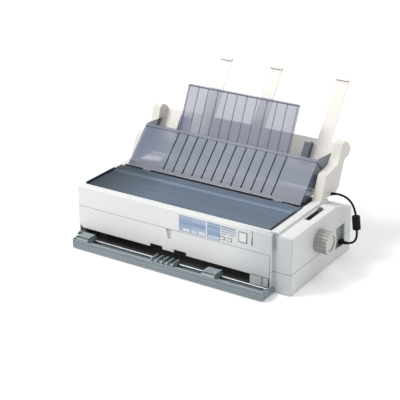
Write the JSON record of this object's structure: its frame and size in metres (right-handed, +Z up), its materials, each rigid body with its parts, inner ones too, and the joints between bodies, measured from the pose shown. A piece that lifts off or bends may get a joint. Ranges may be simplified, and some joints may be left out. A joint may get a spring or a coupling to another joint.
{
  "type": "dot matrix printer",
  "caption": "Wide dot matrix printer with a smoked hood, hinged covers, a cut sheet feeder with pull-out supports, a front push tractor and a side platen knob.",
  "frame": {"origin": "on the floor, under the middle of the whole part's bounding box without its cord", "axes": "+X to the right as seen from the front, +Y to the back, +Z up; the front cover faces -Y"},
  "size_m": [0.6496, 0.5114, 0.3916],
  "materials": {
    "case_plastic": "fine texture",
    "hood_smoke": "smoked, glossy",
    "guide_smoke": "smoked, translucent",
    "stacker_clear": "pale, translucent",
    "feeder_cream": "satin",
    "knob_cream": "satin",
    "tractor_grey": "satin",
    "gear_plastic": "satin",
    "steel": "ground",
    "zinc_sheet": "plated",
    "black_rubber": "matt",
    "black_plastic": "satin",
    "panel_blue": "printed film",
    "key_white": "satin",
    "board_green": "lacquered",
    "inlet_black": "satin"
  },
  "bodies": {
    "case": {"lower_case": "case_plastic", "rubber_feet": "black_rubber", "upper_case": "case_plastic", "panel_face": "panel_blue", "hinge_pin": "steel", "feeder_frame_left": "feeder_cream", "feeder_frame_right": "feeder_cream", "hopper_plate": "feeder_cream", "feeder_beams": "steel", "chassis_plate_left": "zinc_sheet", "chassis_plate_right": "zinc_sheet", "feed_motor": "zinc_sheet", "carriage_rails": "steel", "ribbon_cartridge": "black_plastic", "carriage_motor": "zinc_sheet", "timing_belt": "black_rubber", "paper_pan": "zinc_sheet", "main_board": "board_green", "power_unit": "zinc_sheet", "power_inlet": "inlet_black", "feeder_socket": "case_plastic", "tractor_frame": "tractor_grey", "feeder_cable": "black_rubber", "ferrite_core": "black_plastic", "cable_plug": "black_plastic"},
    "front_cover_body": {"front_cover": "case_plastic"},
    "hood_body": {"hood": "hood_smoke"},
    "guide_body": {"sheet_guide": "guide_smoke", "stacker": "stacker_clear"},
    "platen_body": {"platen_roller": "black_rubber", "platen_shaft": "steel", "platen_gear": "gear_plastic", "platen_knob": "knob_cream"},
    "feed_gear_upper_body": {"feed_gear_upper": "gear_plastic"},
    "feed_gear_lower_body": {"feed_gear_lower": "gear_plastic"},
    "feed_gear_front_body": {"feed_gear_front": "gear_plastic"},
    "tractor_shaft_body": {"tractor_shaft": "steel"},
    "motor_pinion_body": {"motor_pinion": "steel"},
    "carriage_body": {"carriage": "black_plastic", "print_head": "zinc_sheet"},
    "drive_pulley_body": {"drive_pulley": "gear_plastic"},
    "idler_pulley_body": {"idler_pulley": "gear_plastic"},
    "ribbon_knob_body": {"ribbon_knob": "black_plastic"},
    "release_lever_body": {"release_lever": "gear_plastic"},
    "button_left_body": {"panel_button_left": "key_white"},
    "button_right_body": {"panel_button_right": "key_white"},
    "online_button_body": {"online_button": "key_white"},
    "support_left_body": {"paper_support_left": "feeder_cream"},
    "support_middle_body": {"paper_support_middle": "feeder_cream"},
    "support_right_body": {"paper_support_right": "feeder_cream"},
    "edge_left_body": {"edge_guide_left": "stacker_clear"},
    "edge_right_body": {"edge_guide_right": "stacker_clear"},
    "pick_body": {"pick_shaft": "steel", "pick_rollers": "black_rubber"},
    "tractor_left_body": {"tractor_left": "tractor_grey"},
    "tractor_right_body": {"tractor_right": "tractor_grey"},
    "flap_left_body": {"tractor_flap_left": "tractor_grey"},
    "flap_right_body": {"tractor_flap_right": "tractor_grey"},
    "rocker_body": {"power_rocker": "inlet_black"}
  },
  "joints": [
    {"name": "front_cover_hinge", "type": "hinge", "parent": "case", "child": "front_cover_body", "pos_m": [-0.017, -0.19933, 0.042], "axis": [1, 0, 0], "range_deg": [0, 70]},
    {"name": "hood_hinge", "type": "hinge", "parent": "case", "child": "hood_body", "pos_m": [-0.017, -0.03373, 0.147], "axis": [-1, 0, 0], "range_deg": [0, 60]},
    {"name": "sheet_guide_hinge", "type": "hinge", "parent": "case", "child": "guide_body", "pos_m": [-0.017, -0.03373, 0.147], "axis": [1, 0, 0], "range_deg": [0, 25]},
    {"name": "platen_turn", "type": "hinge", "parent": "case", "child": "platen_body", "pos_m": [-0.017, -0.06373, 0.091], "axis": [1, 0, 0], "continuous": true},
    {"name": "feed_gear_upper_turn", "type": "hinge", "parent": "case", "child": "feed_gear_upper_body", "pos_m": [-0.3055, -0.11059, 0.06553], "axis": [1, 0, 0], "continuous": true},
    {"name": "feed_gear_lower_turn", "type": "hinge", "parent": "case", "child": "feed_gear_lower_body", "pos_m": [-0.3055, -0.15941, 0.03899], "axis": [1, 0, 0], "continuous": true},
    {"name": "feed_gear_front_turn", "type": "hinge", "parent": "case", "child": "feed_gear_front_body", "pos_m": [-0.3055, -0.19433, 0.02], "axis": [1, 0, 0], "continuous": true},
    {"name": "tractor_shaft_turn", "type": "hinge", "parent": "case", "child": "tractor_shaft_body", "pos_m": [-0.3055, -0.21943, 0.0155], "axis": [1, 0, 0], "continuous": true},
    {"name": "motor_pinion_turn", "type": "hinge", "parent": "case", "child": "motor_pinion_body", "pos_m": [-0.3055, -0.03085, 0.07636], "axis": [1, 0, 0], "continuous": true},
    {"name": "carriage_slide", "type": "slide", "parent": "case", "child": "carriage_body", "axis": [1, 0, 0], "range_m": [-0.195, 0.195]},
    {"name": "drive_pulley_turn", "type": "hinge", "parent": "case", "child": "drive_pulley_body", "pos_m": [-0.282, -0.14973, 0.059], "axis": [0, 0, 1], "continuous": true},
    {"name": "idler_pulley_turn", "type": "hinge", "parent": "case", "child": "idler_pulley_body", "pos_m": [0.199, -0.14973, 0.059], "axis": [0, 0, 1], "continuous": true},
    {"name": "ribbon_knob_turn", "type": "hinge", "parent": "case", "child": "ribbon_knob_body", "pos_m": [-0.25, -0.15473, 0.11], "axis": [0, 0, 1], "continuous": true},
    {"name": "release_lever_pivot", "type": "hinge", "parent": "case", "child": "release_lever_body", "pos_m": [0.258, -0.03973, 0.084], "axis": [1, 0, 0], "range_deg": [0, 45]},
    {"name": "button_left_press", "type": "slide", "parent": "case", "child": "button_left_body", "axis": [0, 1, 0], "range_m": [0, 0.0008], "stiffness_N_per_m": 400},
    {"name": "button_right_press", "type": "slide", "parent": "case", "child": "button_right_body", "axis": [0, 1, 0], "range_m": [0, 0.0008], "stiffness_N_per_m": 400},
    {"name": "online_button_press", "type": "slide", "parent": "case", "child": "online_button_body", "axis": [0, 1, 0], "range_m": [0, 0.0008], "stiffness_N_per_m": 400},
    {"name": "support_left_slide", "type": "slide", "parent": "case", "child": "support_left_body", "axis": [0, 0.565, 0.8251], "range_m": [-0.08, 0]},
    {"name": "support_middle_slide", "type": "slide", "parent": "case", "child": "support_middle_body", "axis": [0, 0.565, 0.8251], "range_m": [-0.08, 0]},
    {"name": "support_right_slide", "type": "slide", "parent": "case", "child": "support_right_body", "axis": [0, 0.565, 0.8251], "range_m": [-0.08, 0]},
    {"name": "edge_left_slide", "type": "slide", "parent": "case", "child": "edge_left_body", "axis": [1, 0, 0], "range_m": [0, 0.08]},
    {"name": "edge_right_slide", "type": "slide", "parent": "case", "child": "edge_right_body", "axis": [1, 0, 0], "range_m": [-0.12, 0]},
    {"name": "pick_turn", "type": "hinge", "parent": "case", "child": "pick_body", "pos_m": [-0.035, 0.09349, 0.18285], "axis": [1, 0, 0], "continuous": true},
    {"name": "tractor_left_slide", "type": "slide", "parent": "case", "child": "tractor_left_body", "axis": [1, 0, 0], "range_m": [0, 0.18]},
    {"name": "tractor_right_slide", "type": "slide", "parent": "case", "child": "tractor_right_body", "axis": [1, 0, 0], "range_m": [-0.08, 0.12]},
    {"name": "flap_left_hinge", "type": "hinge", "parent": "tractor_left_body", "child": "flap_left_body", "pos_m": [-0.2944, -0.22873, 0.0289], "axis": [0, 1, 0], "range_deg": [-100, 0]},
    {"name": "flap_right_hinge", "type": "hinge", "parent": "tractor_right_body", "child": "flap_right_body", "pos_m": [0.1074, -0.22873, 0.0289], "axis": [0, -1, 0], "range_deg": [-100, 0]},
    {"name": "power_rocker_tilt", "type": "hinge", "parent": "case", "child": "rocker_body", "pos_m": [-0.182, 0.10877, 0.024], "axis": [1, 0, 0], "range_deg": [-8, 8]}
  ],
  "couplings": [
    {"joint": "feed_gear_upper_turn", "follows": "platen_turn", "ratio": -0.91892},
    {"joint": "feed_gear_lower_turn", "follows": "platen_turn", "ratio": 0.91892},
    {"joint": "feed_gear_front_turn", "follows": "platen_turn", "ratio": -2.125},
    {"joint": "tractor_shaft_turn", "follows": "platen_turn", "ratio": 1.8889},
    {"joint": "motor_pinion_turn", "follows": "platen_turn", "ratio": -2.4286},
    {"joint": "drive_pulley_turn", "follows": "carriage_slide", "rad_per_m": -125},
    {"joint": "idler_pulley_turn", "follows": "carriage_slide", "rad_per_m": -125}
  ]
}
